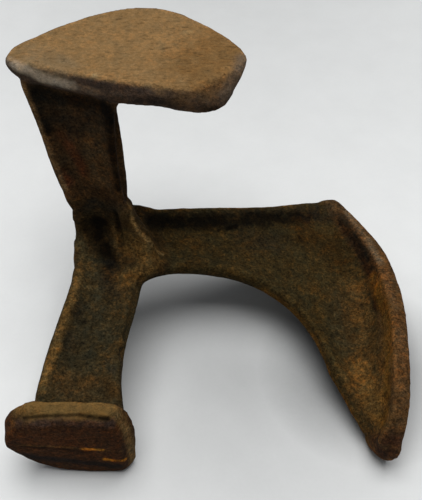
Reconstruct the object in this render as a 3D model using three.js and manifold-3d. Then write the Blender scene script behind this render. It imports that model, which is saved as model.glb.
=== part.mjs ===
// Cobbler's anvil: a three-footed iron casting for nailing and pressing shoe soles.
// Three ribbed arms leave one hub. One stands up with a small sole on it, and the other two
// reach down to the floor, one with a large sole and one with a heel plate.
// Millimetres, +Z up. The anvil stands on the floor at z = 0.

import * as THREE from 'three';
import Module from 'manifold-3d';
import { mergeVertices } from 'three/addons/utils/BufferGeometryUtils.js';

const wasm = await Module();
wasm.setup();

// Driving dimensions
const hubHeight = 79;            // floor to the point where the three arms meet
const webThickness = 6;          // flat middle of every arm
const rimWidth = 5.5;            // raised rim along both edges of an arm
const rimHeight = 3;             // how far that rim stands above the web in front
const rearRimHeight = 2;         // and behind
const rimRound = 1.6;            // soft outer corner of the rim
const rimFoot = 3.5;             // slope from the rim down to the web
const edgeRoom = 3;              // least width of a sole's border beside the arm's blend
const seam = 0.3;                // clearance between two neighbouring regions
const overrun = 2.5;             // how far one solid runs into the tool that trims it
const armLift = 1.2;             // lowest point of the large arm above the floor

// Arms: yaw in plan, rise above the level, and bank about the arm's own line, in degrees
const smallArm = {
  yaw: 73, rise: 80.2, bank: 0, front: 2, start: 30, reach: 115.2, fillet: 7,
};
const largeArm = {
  yaw: 15, rise: -15.5, bank: 9.7, front: 4, start: 30, reach: 178, fillet: 24,
};
const heelArm = {
  yaw: -90, rise: -12, bank: 0, front: 0, start: 30, reach: 114.8, fillet: 10,
};

// Feet. Length runs from heel to toe, width from the rear edge to the front edge.
// heelShare is how much of the length lies on the heel side of the arm's own line. crease is
// the share of the width beyond which the face falls back by a slope in degrees. tuck is how
// far the working face stops short of the heel end, and toeTuck the same for the inner side.
const smallSole = {
  length: 135, width: 70, thickness: 7.6, rim: 4.4, lean: 9.8, heelShare: 0.489, front: 3,
  thin: 6, droop: 6, crease: 0.5, creaseSlope: 0, tuck: 0, toeTuck: 6,
};
const largeSole = {
  length: 197, width: 80, thickness: 9.5, rim: 1.8, lean: 8, heelShare: 0.147, front: 34,
  thin: 0, droop: 0, crease: 0.5, creaseSlope: 0, tuck: 0, toeTuck: 9,
};
const heelPlate = {
  length: 79, width: 68, thickness: 13, rim: 0, lean: 18.5, heelShare: 0.195, front: 11,
  thin: 0, droop: 0, crease: 0.58, creaseSlope: 12, tuck: 9, toeTuck: 0,
};
const thinRun = 26;              // over how much of its length a sole thins toward the heel end
const droopRun = 46;             // over how much of its length it thickens toward the toe
const padRim = 8;                // width of the thick border on the inner side of a sole
const bandShare = 0.3;           // most of a narrow sole's width that one border may take
const bandStopShares = [0, 0.5, 1, 1.35];
const closeRowShares = [1, 0.75, 0.54, 0.38, 0.25, 0.14];
const soleRows = 34;             // stations along a sole
const toeBevelStart = 42;        // where the small sole's toe corner starts to fall away
const toeBevelRun = 32;          // how far that bevel runs across the sole
const toeBevelSlope = 58;        // its slope from the level, degrees
const rearFillet = 10;           // largest blend into a sole on the rear of an arm
const hubFillet = 17;            // concave blend between the upright arm and the lower ones
const sideFillet = 11;           // the same blend on the other sides of the upright arm
const hubFilletSpan = [-24, 24]; // from where to where the first blend runs along its corner
const sideFilletSpan = [-6, 13];
const rearFilletSpan = [-14, 5];
const hubBoss = 22;              // radius of the boss under the hub
const hubBossDepth = 9;          // how far that boss bulges
const hubBossDrop = 10;          // how far its middle lies below the arms' meeting point
const stubDepth = 10;            // how far the upright arm's root runs past the meeting point
const heelStubDepth = 22;        // and the heel arm's root

// Arm outlines. Each row is a share of the reach, then the heel-side and toe-side edges
// as shares of the arm's width at the hub.
const smallArmWidth = 42;
const heelArmWidth = 42;
const smallEdgeShares = [
  [-0.20, -0.69, 0.60], [0, -0.71, 0.55], [0.10, -0.714, 0.40], [0.16, -0.72, 0.26],
  [0.23, -0.76, 0.17], [0.33, -0.90, 0.14], [0.50, -1.03, 0.09], [0.70, -1.16, 0.05],
  [0.88, -1.30, 0.02], [0.94, -1.35, 0.04], [1.00, -1.40, 0.11], [1.06, -1.44, 0.24],
];
const heelEdgeShares = [
  [-0.20, -0.40, 0.66], [0.12, -0.40, 0.67], [0.27, -0.36, 0.69], [0.44, -0.27, 0.80],
  [0.62, -0.17, 0.92], [0.78, -0.11, 1.00], [0.90, -0.14, 1.06], [1.08, -0.22, 1.14],
];

// The large arm widens into its sole, so each edge is its own line: shares of the sole's
// length along the toe, then shares of the reach along the arm.
const largeHeelEdgeShares = [
  [-0.153, -0.04], [-0.141, 0.07], [-0.120, 0.14], [-0.120, 0.28], [-0.120, 0.45],
  [-0.122, 0.66], [-0.132, 0.77], [-0.139, 0.88], [-0.140, 0.93],
];
const largeToeEdgeShares = [
  [0.154, 0.05], [0.133, 0.12], [0.123, 0.21], [0.134, 0.33], [0.160, 0.44], [0.208, 0.54],
  [0.302, 0.64], [0.412, 0.69], [0.512, 0.705], [0.600, 0.727], [0.677, 0.740],
  [0.746, 0.757], [0.800, 0.778],
];

// Curve of each sole seen from the side: share of its length from the arm line, then share
// of the reach.
const smallCurveShares = [[-0.55, 1], [0, 1], [0.55, 1]];
const heelCurveShares = [[-0.6, 1], [0, 1], [1, 1]];
const largeCurveShares = [
  [-0.180, 0.899], [-0.075, 0.944], [0.015, 0.978], [0.129, 1.006], [0.284, 0.994],
  [0.468, 0.938], [0.642, 0.876], [0.771, 0.826], [0.876, 0.775],
];

// Sole outlines: share of the length from the heel end, then front and rear edges as
// shares of the width, measured from the sole's front line.
const smallOutlineShares = [
  [0, -0.03, -0.12], [0.03, 0.00, -0.22], [0.08, 0.01, -0.35], [0.15, 0.01, -0.54],
  [0.27, 0.01, -0.77], [0.40, 0.01, -0.94], [0.54, -0.01, -1.01], [0.69, -0.04, -0.95],
  [0.80, -0.07, -0.87], [0.90, -0.14, -0.76], [0.96, -0.26, -0.67], [0.99, -0.38, -0.59],
  [1, -0.45, -0.54],
];
const largeOutlineShares = [
  [0, -0.387, -0.725], [0.01, -0.362, -0.90], [0.036, -0.338, -0.987], [0.086, -0.30, -1.012],
  [0.188, -0.238, -1.012], [0.30, -0.162, -0.975], [0.40, -0.106, -0.912],
  [0.503, -0.038, -0.838], [0.604, 0.00, -0.775], [0.706, 0.006, -0.738], [0.797, 0.00, -0.712],
  [0.863, -0.025, -0.675], [0.924, -0.088, -0.612], [0.964, -0.162, -0.55],
  [0.99, -0.238, -0.488], [1, -0.312, -0.425],
];
const heelOutlineShares = [
  [0, -0.368, -0.90], [0.013, -0.279, -0.97], [0.05, -0.162, -1.0], [0.10, -0.074, -1.015],
  [0.19, -0.022, -1.015], [0.45, 0.00, -1.00], [0.68, -0.01, -0.87], [0.81, -0.05, -0.76],
  [0.92, -0.15, -0.58], [0.974, -0.24, -0.47], [1, -0.31, -0.39],
];

const iron = { color: 0x6b563c, roughness: 0.72, metalness: 0.35 };
const radians = THREE.MathUtils.degToRad;

// A smooth value from a table of rows whose first column rises.
function readTable(table, column, at) {
  const last = table.length - 1;
  let i = 0;
  while (i < last - 1 && at > table[i + 1][0]) i += 1;
  const slope = (k) => {
    const a = table[Math.max(k - 1, 0)];
    const b = table[Math.min(k + 1, last)];
    return (b[column] - a[column]) / (b[0] - a[0]);
  };
  const [p, q] = [table[i], table[i + 1]];
  const run = q[0] - p[0];
  const t = THREE.MathUtils.clamp((at - p[0]) / run, 0, 1);
  const rise = q[column] - p[column];
  const [m0, m1] = [slope(i) * run, slope(i + 1) * run];
  return p[column] + t * (m0 + t * (3 * rise - 2 * m0 - m1 + t * (m0 + m1 - 2 * rise)));
}

// A closed body between two grids of points with the same rows and columns.
function gridSolid(front, back) {
  const rows = front.length;
  const columns = front[0].length;
  const position = [...front.flat(), ...back.flat()].flatMap((p) => [p.x, p.y, p.z]);
  const at = (i, j, side) => side * rows * columns + i * columns + j;
  const index = [];
  const quad = (a, b, c, d) => index.push(a, b, c, a, c, d);
  for (let i = 0; i < rows - 1; i += 1) {
    for (let j = 0; j < columns - 1; j += 1) {
      quad(at(i, j, 0), at(i + 1, j, 0), at(i + 1, j + 1, 0), at(i, j + 1, 0));
      quad(at(i, j, 1), at(i, j + 1, 1), at(i + 1, j + 1, 1), at(i + 1, j, 1));
    }
  }
  for (let i = 0; i < rows - 1; i += 1) {
    quad(at(i, 0, 0), at(i, 0, 1), at(i + 1, 0, 1), at(i + 1, 0, 0));
    quad(at(i, columns - 1, 1), at(i, columns - 1, 0), at(i + 1, columns - 1, 0),
      at(i + 1, columns - 1, 1));
  }
  for (let j = 0; j < columns - 1; j += 1) {
    quad(at(0, j, 1), at(0, j, 0), at(0, j + 1, 0), at(0, j + 1, 1));
    quad(at(rows - 1, j, 0), at(rows - 1, j, 1), at(rows - 1, j + 1, 1),
      at(rows - 1, j + 1, 0));
  }
  const geometry = new THREE.BufferGeometry();
  geometry.setAttribute('position', new THREE.Float32BufferAttribute(position, 3));
  geometry.setIndex(index);
  return geometry;
}

// A geometry as a solid for joining and cutting, moved by a matrix first.
function solidOf(geometry, matrix = new THREE.Matrix4()) {
  const bare = geometry.clone();
  bare.deleteAttribute('normal');
  bare.deleteAttribute('uv');
  const whole = mergeVertices(bare.applyMatrix4(matrix));
  const make = (triVerts) => new wasm.Manifold(new wasm.Mesh({
    numProp: 3,
    vertProperties: new Float32Array(whole.attributes.position.array),
    triVerts,
  }));
  const faces = new Uint32Array(whole.index.array);
  const solid = make(faces);
  return solid.volume() > 0 ? solid : make(faces.reverse());
}

function geometryOf(solid) {
  const { vertProperties, triVerts } = solid.getMesh();
  const geometry = new THREE.BufferGeometry();
  geometry.setAttribute('position', new THREE.Float32BufferAttribute(vertProperties, 3));
  geometry.setIndex(Array.from(triVerts));
  geometry.computeVertexNormals();
  return geometry;
}

function castMesh(name, solid) {
  const mesh = new THREE.Mesh(geometryOf(solid), new THREE.MeshStandardMaterial(iron));
  mesh.name = name;
  return mesh;
}

// The frame of an arm: X points to the toe, Y runs out along the arm and Z leaves its
// front face. All three arms meet at the hub point.
function armFrame({ yaw, rise, bank }) {
  const out = new THREE.Vector3(
    Math.cos(radians(rise)) * Math.cos(radians(yaw)),
    Math.cos(radians(rise)) * Math.sin(radians(yaw)),
    Math.sin(radians(rise)),
  );
  const level = new THREE.Vector3(Math.sin(radians(yaw)), -Math.cos(radians(yaw)), 0);
  const toe = level.applyAxisAngle(out, radians(bank));
  const face = new THREE.Vector3().crossVectors(toe, out);
  return new THREE.Matrix4().makeBasis(toe, out, face).setPosition(0, 0, hubHeight);
}

// How high the rim stands at a distance from the edge of an arm.
function rimProfile(fromEdge, height) {
  if (fromEdge < rimRound) return height * (fromEdge / rimRound - 1);
  if (fromEdge < rimWidth) return 0;
  return -height * Math.min((fromEdge - rimWidth) / rimFoot, 1);
}

const rimStops = [0, rimRound, rimWidth, rimWidth + rimFoot];

// Columns across an arm: close together over the two rims, even between them.
function acrossStops(width, middle) {
  const inner = width - 2 * (rimWidth + rimFoot);
  const even = Array.from({ length: middle }, (_, k) => (
    rimWidth + rimFoot + (inner * (k + 1)) / (middle + 1)));
  return [...rimStops, ...even, ...rimStops.map((d) => width - d).reverse()];
}

// How much an arm thickens as it nears its sole, as a quarter-round fillet that is never
// larger than the room beside the arm.
function filletRise(toSole, room, largest) {
  const radius = THREE.MathUtils.clamp(room, 0, largest);
  const into = THREE.MathUtils.clamp(radius - toSole, 0, radius);
  return radius - Math.sqrt(radius ** 2 - into ** 2);
}

// The body of an arm between two edge lines, over rows given as shares of its length. Edge
// points come from functions of that share, and endLine bends the last rows. near gives the
// distance to the sole and the room for a fillet in front of the arm and behind it.
function armSolid({ rows, heelEdge, toeEdge, endLine, arm, middle, near }) {
  const rear = armRear(arm);
  const frontGrid = [];
  const backGrid = [];
  const [h1, t1] = [heelEdge(1), toeEdge(1)];
  for (const s of rows) {
    const [h, t] = [heelEdge(s), toeEdge(s)];
    const width = h.distanceTo(t);
    const frontRow = [];
    const backRow = [];
    for (const stop of acrossStops(width, middle)) {
      const c = stop / width;
      const flat = h.clone().lerp(t, c);
      const straightEnd = h1.clone().lerp(t1, c);
      flat.addScaledVector(endLine(c).sub(straightEnd), s ** 3);
      const edge = Math.min(stop, width - stop);
      const fade = Math.min(edge / rimRound, 1);
      const { gap, ahead, behind } = near(flat);
      const rise = rimProfile(edge, rimHeight) + fade * filletRise(gap, ahead, arm.fillet);
      const fall = rimProfile(edge, rearRimHeight)
        + fade * filletRise(gap, behind, Math.min(arm.fillet, rearFillet));
      frontRow.push(new THREE.Vector3(flat.x, flat.y, arm.front + rise));
      backRow.push(new THREE.Vector3(flat.x, flat.y, rear - fall));
    }
    frontGrid.push(frontRow);
    backGrid.push(backRow);
  }
  return gridSolid(frontGrid, backGrid);
}

// The height of an arm's rear rim in its own frame.
function armRear(arm) {
  return arm.front - rimHeight - webThickness - rearRimHeight;
}

// The plate of a foot. Its working face follows the foot's curve and leans back across
// the width, and its inner side has a thicker border. thin and droop raise and lower that
// side toward the heel and the toe. grow makes the plate larger on every side, for cutting
// what meets it.
function soleSolid(sole, curve, outline, grow) {
  const rows = soleRows;
  const frontGrid = [];
  const backGrid = [];
  for (let i = 0; i <= rows; i += 1) {
    const share = (1 - Math.cos((Math.PI * i) / rows)) / 2;
    const end = (i === rows) - (i === 0);
    const x = (share - sole.heelShare) * sole.length;
    const zFront = sole.front + readTable(outline, 1, share) * sole.width;
    const zRear = sole.front + readTable(outline, 2, share) * sole.width;
    const width = zFront - zRear;
    const band = Math.min(padRim, width * bandShare);
    const stops = bandStopShares.map((k) => k * band);
    const across = [...stops, width * sole.crease, ...stops.map((d) => width - d).reverse()];
    const toHeel = Math.max(1 - (share * sole.length) / thinRun, 0) ** 2;
    const toToe = Math.max(1 - ((1 - share) * sole.length) / droopRun, 0) ** 2;
    const frontRow = [];
    const backRow = [];
    across.forEach((d, k) => {
      const half = Math.sign((across.length - 1) / 2 - k);
      const outermost = k === 0 || k === across.length - 1;
      const z = zFront - d + half * (outermost ? grow : -grow);
      const y = curve(x) - Math.tan(radians(sole.lean)) * z;
      const border = Math.min(d, width - d) <= band ? sole.rim : 0;
      const fall = Math.max(d - width * sole.crease, 0) * Math.tan(radians(sole.creaseSlope));
      const xFront = x + toHeel * sole.tuck + end * grow;
      const xBack = x - toToe * sole.toeTuck + end * grow;
      frontRow.push(new THREE.Vector3(xFront, y + sole.thickness - fall + grow, z));
      backRow.push(new THREE.Vector3(
        xBack, y - border + toHeel * sole.thin - toToe * sole.droop - grow, z));
    });
    frontGrid.push(frontRow);
    backGrid.push(backRow);
  }
  return gridSolid(frontGrid, backGrid);
}

// What lies more than lift above the floor, for a solid in an arm's own frame.
function aboveFloor(solid, frame, lift) {
  const inverse = frame.clone().invert();
  const up = new THREE.Vector3(0, 0, 1).transformDirection(inverse);
  const point = new THREE.Vector3(0, 0, lift).applyMatrix4(inverse);
  return solid.trimByPlane(up.toArray(), up.dot(point));
}

// Rows along an arm, count of them plain and then close ones where the fillet into the
// sole rises over the length of the blend.
function alongRows(length, count, blend) {
  const close = closeRowShares.map((k) => 1 - (k * (blend + overrun)) / length);
  const plain = Array.from({ length: count }, (_, k) => (close[0] * k) / count);
  return [...plain, ...close, 1];
}

// An arm whose two edges are read from one table of shares of its width, ending inside its
// sole's plate.
function strapArm(arm, width, table, near) {
  const reach = arm.reach + overrun;
  const from = arm.start + seam;
  const edge = (column) => (s) => {
    const y = from + s * (reach - from);
    return new THREE.Vector2(readTable(table, column, y / arm.reach) * width, y);
  };
  const [heelEdge, toeEdge] = [edge(1), edge(2)];
  return armSolid({
    rows: alongRows(reach - from, 9, arm.fillet),
    heelEdge,
    toeEdge,
    endLine: (c) => heelEdge(1).lerp(toeEdge(1), c),
    arm,
    middle: 3,
    near,
  });
}

// The root of an arm inside the hub, which runs deep past the meeting point.
function strapRoot(arm, width, table, deep) {
  const edge = (column) => (s) => {
    const y = s * (arm.start + deep) - deep;
    return new THREE.Vector2(readTable(table, column, y / arm.reach) * width, y);
  };
  const [heelEdge, toeEdge] = [edge(1), edge(2)];
  return armSolid({
    rows: [0, 0.2, 0.4, 0.55, 0.7, 0.85, 1],
    heelEdge,
    toeEdge,
    endLine: (c) => heelEdge(1).lerp(toeEdge(1), c),
    arm,
    middle: 3,
    near: farFromSole,
  });
}

// How near a point of an arm is to its sole, and how much the sole overlaps the arm there.
function nearSole(arm, sole, curve, outline) {
  return (p) => {
    const share = THREE.MathUtils.clamp(p.x / sole.length + sole.heelShare, 0, 1);
    const top = sole.front + readTable(outline, 1, share) * sole.width;
    const bottom = sole.front + readTable(outline, 2, share) * sole.width;
    return {
      gap: curve(p.x) - p.y,
      ahead: top - arm.front - edgeRoom,
      behind: armRear(arm) - bottom - edgeRoom,
    };
  };
}

const farFromSole = () => ({ gap: largeArm.reach, ahead: 0, behind: 0 });

// A concave blend in the corner between two flat faces that meet at the hub, over a span
// along the corner. Each face is an arm's frame and the face's height in it, and a face
// behind its arm says so.
function cornerBlend([frameA, offsetA], [frameB, offsetB], radius, span) {
  const normals = [frameA, frameB].map((frame) => (
    new THREE.Vector3().setFromMatrixColumn(frame, 2)));
  if (offsetA.behind) normals[0].negate();
  const [a, b] = normals;
  const along = new THREE.Vector3().crossVectors(b, a).normalize();
  const hubPoint = new THREE.Vector3().setFromMatrixPosition(frameA);
  const dot = a.dot(b);
  const [da, db] = [offsetA.height, offsetB.height];
  const corner = hubPoint.clone()
    .addScaledVector(a, (da - db * dot) / (1 - dot * dot))
    .addScaledVector(b, (db - da * dot) / (1 - dot * dot));
  const sum = a.clone().add(b);
  const steps = 7;
  const turn = Math.PI - a.angleTo(b);
  const centre = corner.clone().addScaledVector(sum, radius / (1 + dot));
  const section = [corner.clone().addScaledVector(sum, -overrun / 2)];
  const startArm = a.clone().negate();
  const endArm = b.clone().negate();
  for (let k = 0; k <= steps; k += 1) {
    const t = k / steps;
    const sweep = Math.PI - turn;
    const wa = Math.sin((1 - t) * sweep) / Math.sin(sweep);
    const wb = Math.sin(t * sweep) / Math.sin(sweep);
    const spoke = startArm.clone().multiplyScalar(wa).addScaledVector(endArm, wb);
    const point = centre.clone().addScaledVector(spoke, radius);
    if (k === 0) section.push(point.clone().addScaledVector(a, -overrun / 2));
    section.push(point);
    if (k === steps) section.push(point.clone().addScaledVector(b, -overrun / 2));
  }
  const ends = span.map((d) => section.map((p) => p.clone().addScaledVector(along, d)));
  const count = section.length;
  const index = [];
  for (let k = 1; k < count - 1; k += 1) {
    index.push(0, k, k + 1, count, count + k + 1, count + k);
  }
  for (let k = 0; k < count; k += 1) {
    const n = (k + 1) % count;
    index.push(k, count + k, count + n, k, count + n, n);
  }
  const geometry = new THREE.BufferGeometry();
  const position = ends.flat().flatMap((p) => p.toArray());
  geometry.setAttribute('position', new THREE.Float32BufferAttribute(position, 3));
  geometry.setIndex(index);
  return solidOf(geometry);
}

const smallFrame = armFrame(smallArm);
const largeFrame = armFrame(largeArm);
const heelFrame = armFrame(heelArm);

// Small foot
const smallCurve = (x) => smallArm.reach * readTable(smallCurveShares, 1, x / smallSole.length);
const smallPlate = solidOf(soleSolid(smallSole, smallCurve, smallOutlineShares, 0));
const smallPlateRoom = solidOf(soleSolid(smallSole, smallCurve, smallOutlineShares, seam));
const toeRun = smallSole.length * (1 - smallSole.heelShare) - toeBevelStart;
const bevelFacing = new THREE.Vector3(toeBevelRun, 0, toeRun).normalize()
  .multiplyScalar(Math.sin(radians(toeBevelSlope)))
  .setY(Math.cos(radians(toeBevelSlope)));
const bevelEdge = new THREE.Vector3(toeBevelStart, smallArm.reach + smallSole.thickness, 0);
const smallTop = smallPlate.trimByPlane(
  bevelFacing.clone().negate().toArray(), -bevelFacing.dot(bevelEdge));
const smallNear = nearSole(smallArm, smallSole, smallCurve, smallOutlineShares);
const smallStrap = solidOf(strapArm(smallArm, smallArmWidth, smallEdgeShares, smallNear));

const smallFoot = new THREE.Group();
smallFoot.applyMatrix4(smallFrame);
smallFoot.add(castMesh('small_sole', smallTop));
smallFoot.add(castMesh('small_sole_arm', smallStrap.subtract(smallPlateRoom)));

// Large foot
const largeCurve = (x) => largeArm.reach * readTable(largeCurveShares, 1, x / largeSole.length);
const largePlate = solidOf(soleSolid(largeSole, largeCurve, largeOutlineShares, 0));
const largePlateRoom = solidOf(soleSolid(largeSole, largeCurve, largeOutlineShares, seam));

// A point of one of the large arm's edges, by its share along the edge.
function largeEdge(table) {
  const points = table.map(([x, y]) => new THREE.Vector3(
    x * largeSole.length, y * largeArm.reach, 0));
  const line = new THREE.CatmullRomCurve3(points, false, 'centripetal');
  return (s) => line.getPointAt(s);
}

const largeHeelLine = largeEdge(largeHeelEdgeShares);
const largeToeLine = largeEdge(largeToeEdgeShares);

// The share along an edge line at which it passes a distance out along the arm.
function shareAt(line, reach) {
  let low = 0;
  let high = 1;
  for (let k = 0; k < 30; k += 1) {
    const mid = (low + high) / 2;
    if (line(mid).y < reach) low = mid;
    else high = mid;
  }
  return low;
}

// The large arm's edge between two of its shares, as plain points.
function edgePart(line, from, to) {
  return (s) => {
    const p = line(from + s * (to - from));
    return new THREE.Vector2(p.x, p.y);
  };
}

// The large arm or its root, between two pairs of shares along its heel and toe edges.
function largeWeb(from, to, rows, endLine, near) {
  return armSolid({
    rows,
    heelEdge: edgePart(largeHeelLine, from[0], to[0]),
    toeEdge: edgePart(largeToeLine, from[1], to[1]),
    endLine,
    arm: largeArm,
    middle: 5,
    near,
  });
}

const rootShares = [shareAt(largeHeelLine, largeArm.start), shareAt(largeToeLine, largeArm.start)];
const webShares = [
  shareAt(largeHeelLine, largeArm.start + seam), shareAt(largeToeLine, largeArm.start + seam),
];
const soleLine = (c) => {
  const [h, t] = [largeHeelLine(1), largeToeLine(1)];
  const x = h.x + (t.x - h.x) * c;
  return new THREE.Vector2(x, largeCurve(x) + overrun);
};
const largeNear = nearSole(largeArm, largeSole, largeCurve, largeOutlineShares);
const largeStrap = solidOf(largeWeb(
  webShares, [1, 1], alongRows(largeArm.reach, 20, largeArm.fillet), soleLine, largeNear,
));

const largeArmBody = aboveFloor(largeStrap, largeFrame, armLift).subtract(largePlateRoom);

const largeFoot = new THREE.Group();
largeFoot.applyMatrix4(largeFrame);
largeFoot.add(castMesh('large_sole', aboveFloor(largePlate, largeFrame, 0)));
largeFoot.add(castMesh('large_sole_arm', largeArmBody));

// Heel foot
const heelCurve = (x) => heelArm.reach * readTable(heelCurveShares, 1, x / heelPlate.length);
const heelBlock = solidOf(soleSolid(heelPlate, heelCurve, heelOutlineShares, 0));
const heelBlockRoom = solidOf(soleSolid(heelPlate, heelCurve, heelOutlineShares, seam));
const heelNear = nearSole(heelArm, heelPlate, heelCurve, heelOutlineShares);
const heelStrap = solidOf(strapArm(heelArm, heelArmWidth, heelEdgeShares, heelNear));

const heelFoot = new THREE.Group();
heelFoot.applyMatrix4(heelFrame);
heelFoot.add(castMesh('heel_plate', aboveFloor(heelBlock, heelFrame, 0)));
heelFoot.add(castMesh('heel_arm', heelStrap.subtract(heelBlockRoom)));

// Hub: the three roots, a boss under them and concave blends in their corners.
const rootEnd = (c) => edgePart(largeHeelLine, 0, rootShares[0])(1)
  .lerp(edgePart(largeToeLine, 0, rootShares[1])(1), c);
const largeRoot = largeWeb([0, 0], rootShares, [0, 0.25, 0.5, 0.75, 1], rootEnd, farFromSole);
const boss = new THREE.SphereGeometry(hubBoss, 28, 18);
boss.scale(1, 1, hubBossDepth / hubBoss);
boss.translate(0, stubDepth / 2, hubHeight - hubBossDrop);

const upright = { height: smallArm.front - rimHeight };
const uprightRear = { height: -armRear(smallArm) - rearRimHeight, behind: true };
const lower = { height: -rimHeight };
const lowerLarge = { height: largeArm.front - rimHeight };
const blends = [
  cornerBlend([smallFrame, upright], [heelFrame, lower], hubFillet, hubFilletSpan),
  cornerBlend([smallFrame, upright], [largeFrame, lowerLarge], sideFillet, sideFilletSpan),
  cornerBlend([smallFrame, uprightRear], [largeFrame, lowerLarge], sideFillet, rearFilletSpan),
];

const roots = solidOf(strapRoot(smallArm, smallArmWidth, smallEdgeShares, stubDepth), smallFrame)
  .add(solidOf(largeRoot, largeFrame))
  .add(solidOf(strapRoot(heelArm, heelArmWidth, heelEdgeShares, heelStubDepth), heelFrame))
  .add(solidOf(boss));
const hub = blends.reduce((sum, blend) => sum.add(blend), roots);

const anvil = new THREE.Group();
anvil.add(smallFoot, largeFoot, heelFoot, castMesh('hub', hub));

// The origin is the middle of the anvil's footprint, on the floor.
const box = new THREE.Box3().setFromObject(anvil, true);
anvil.position.set(-(box.min.x + box.max.x) / 2, -(box.min.y + box.max.y) / 2, 0);

export default anvil;
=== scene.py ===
# %% [markdown]
# # A rusty cobbler's anvil
#
# This anvil is one iron casting. Three ribbed arms leave a hub, and each ends in a foot
# that a shoe is pulled over: a small sole on top, a large sole at the right and a heel plate
# at the left. The anvil stands on the edges of the last two.
# The model that is loaded here already has the right shape in seven regions. What is left
# for Blender is to join them into one skin, soften it as sand casting does, and rust it.

import bmesh
import bpy
import numpy as np
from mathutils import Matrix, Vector, noise
from mathutils.bvhtree import BVHTree


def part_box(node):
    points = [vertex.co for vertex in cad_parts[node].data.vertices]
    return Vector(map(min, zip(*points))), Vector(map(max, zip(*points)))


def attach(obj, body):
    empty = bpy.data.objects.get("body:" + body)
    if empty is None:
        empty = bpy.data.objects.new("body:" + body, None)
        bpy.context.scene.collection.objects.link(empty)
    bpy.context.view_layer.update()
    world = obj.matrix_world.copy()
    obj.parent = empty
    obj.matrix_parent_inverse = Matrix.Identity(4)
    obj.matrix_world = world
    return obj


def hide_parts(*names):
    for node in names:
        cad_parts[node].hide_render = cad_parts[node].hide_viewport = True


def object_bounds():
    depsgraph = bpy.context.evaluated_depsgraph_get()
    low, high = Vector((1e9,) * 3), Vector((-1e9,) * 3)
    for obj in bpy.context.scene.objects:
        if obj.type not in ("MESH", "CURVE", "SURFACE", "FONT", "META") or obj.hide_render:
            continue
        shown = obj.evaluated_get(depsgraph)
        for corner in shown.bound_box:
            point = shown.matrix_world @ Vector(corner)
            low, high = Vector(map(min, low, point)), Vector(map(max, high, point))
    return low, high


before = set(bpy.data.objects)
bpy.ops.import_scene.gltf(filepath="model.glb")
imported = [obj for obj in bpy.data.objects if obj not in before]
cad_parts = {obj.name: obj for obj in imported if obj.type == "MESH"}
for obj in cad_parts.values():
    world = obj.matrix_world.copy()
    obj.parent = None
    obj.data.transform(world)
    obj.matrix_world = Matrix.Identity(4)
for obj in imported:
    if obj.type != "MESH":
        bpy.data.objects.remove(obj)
cad_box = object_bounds()
MM = 0.001
REGIONS = ["small_sole", "small_sole_arm", "large_sole", "large_sole_arm",
           "heel_plate", "heel_arm", "hub"]
print("regions of the casting:", len(REGIONS))

# %% [markdown]
# ## The camera
#
# The anvil is seen from the front and from well above, so that the soles show their faces.
# The lens is fairly long and stands close, which is why the upright arm grows wider
# towards the top of the picture.

# %% Place the camera
PICTURE_WIDTH, PICTURE_HEIGHT = 422, 500
LOOKS_DOWN = 52                          # degrees below level
DISTANCE = 0.62                          # metres from the camera to the point that it aims at
AIM = Vector((-0.0024, 0.0761, 0.0))
LENS_PER_WIDTH = 790 / PICTURE_WIDTH     # focal length over the picture's width

camera_data = bpy.data.cameras.new("camera")
camera_data.sensor_fit = "HORIZONTAL"
camera_data.lens = camera_data.sensor_width * LENS_PER_WIDTH
camera_data.clip_start = 0.01
camera = bpy.data.objects.new("camera", camera_data)
down = np.radians(LOOKS_DOWN)
camera.location = AIM + DISTANCE * Vector((0, -np.cos(down), np.sin(down)))
camera.rotation_euler = (np.pi / 2 - down, 0, 0)
bpy.context.collection.objects.link(camera)
bpy.context.scene.camera = camera


def sight(across, down_the_picture):
    """The direction in which the camera sees a point of its picture, from the top left."""
    way = Vector((across - PICTURE_WIDTH / 2, PICTURE_HEIGHT / 2 - down_the_picture,
                  -PICTURE_WIDTH * LENS_PER_WIDTH)).normalized()
    way.rotate(camera.rotation_euler)
    return way


print("the camera stands", [round(v, 3) for v in camera.location])

# %% [markdown]
# ## Finding places on the casting
#
# One question comes up again and again: where on the casting is the place that the camera
# sees at a point of the picture? A tree of the regions' faces answers it, by following the
# camera's line of sight. What is put there lies on the iron itself, so it looks right from
# every side.

# %% Ask the regions' faces
NEAR_MISS = np.linspace(0.4, 0.8, 81)    # metres along a line of sight that hits nothing

tree_points, tree_faces, owner = [], [], []
for index, name in enumerate(REGIONS):
    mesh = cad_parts[name].data
    first = len(tree_points)
    tree_points.extend(v.co.copy() for v in mesh.vertices)
    tree_faces.extend([first + i for i in p.vertices] for p in mesh.polygons)
    owner.extend([index] * len(mesh.polygons))
surface_tree = BVHTree.FromPolygons(tree_points, tree_faces)


def seen_at(across, down_the_picture):
    """The place on the casting at a point of the picture, or beside it on a near miss."""
    way = sight(across, down_the_picture)
    hit = surface_tree.ray_cast(camera.location, way)[0]
    if hit is None:
        tries = [surface_tree.find_nearest(camera.location + way * far) for far in NEAR_MISS]
        hit = min(tries, key=lambda found: found[3])[0]
    return np.array(hit)


print("the camera sees the hub at", seen_at(110, 262).round(3))

# %% [markdown]
# ## One skin over seven regions
#
# The regions are separate bodies with a hairline gap between them, but the real casting has
# no seams. Each copy is pushed outward by a little more than half the gap, so that the copies
# overlap, and a voxel remesh then wraps all of them in one even skin. Even quads matter
# for the next steps, which move every point by a small amount.

# %% Join the regions
SWELL = 0.7 * MM                     # closes the gaps, and the softening takes most of it off
VOXEL = 1.0 * MM
WELD = 1e-6                          # points closer than this are one point


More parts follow.
